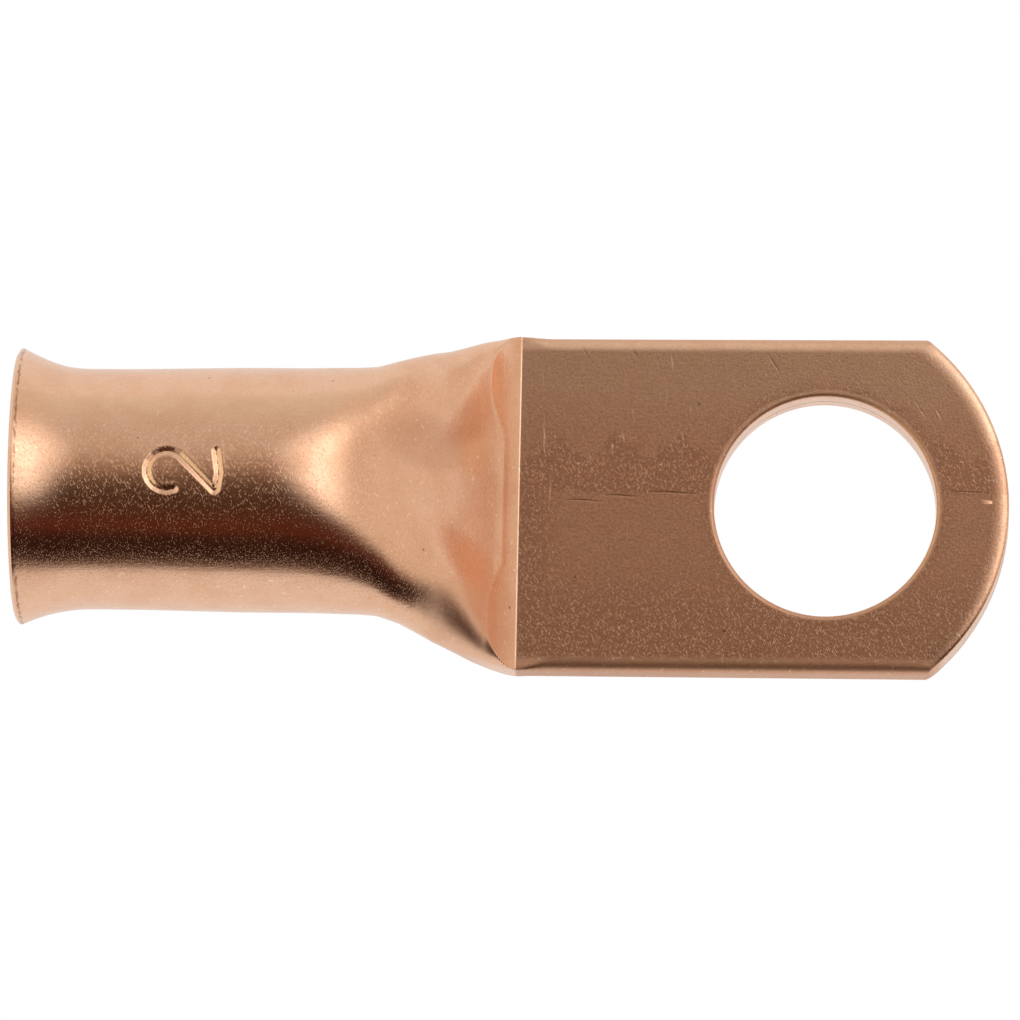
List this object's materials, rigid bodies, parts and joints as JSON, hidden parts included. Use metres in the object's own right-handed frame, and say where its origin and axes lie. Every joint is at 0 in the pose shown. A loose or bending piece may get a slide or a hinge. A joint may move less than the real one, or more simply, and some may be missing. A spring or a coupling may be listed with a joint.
{
  "type": "copper cable lug",
  "caption": "Copper tube terminal with a belled barrel that takes a stranded cable and a flat palm with a stud hole.",
  "frame": {"origin": "centre of the stud hole, in the plane of the palm's underside", "axes": "+X from the stud hole to the palm's rounded end, so the cable's mouth faces -X; +Z out of the palm's top face, the side that the barrel stands above"},
  "size_m": [0.0466, 0.0162, 0.0129],
  "materials": {
    "copper": null
  },
  "bodies": {
    "root": {"lug": "copper"}
  },
  "joints": []
}
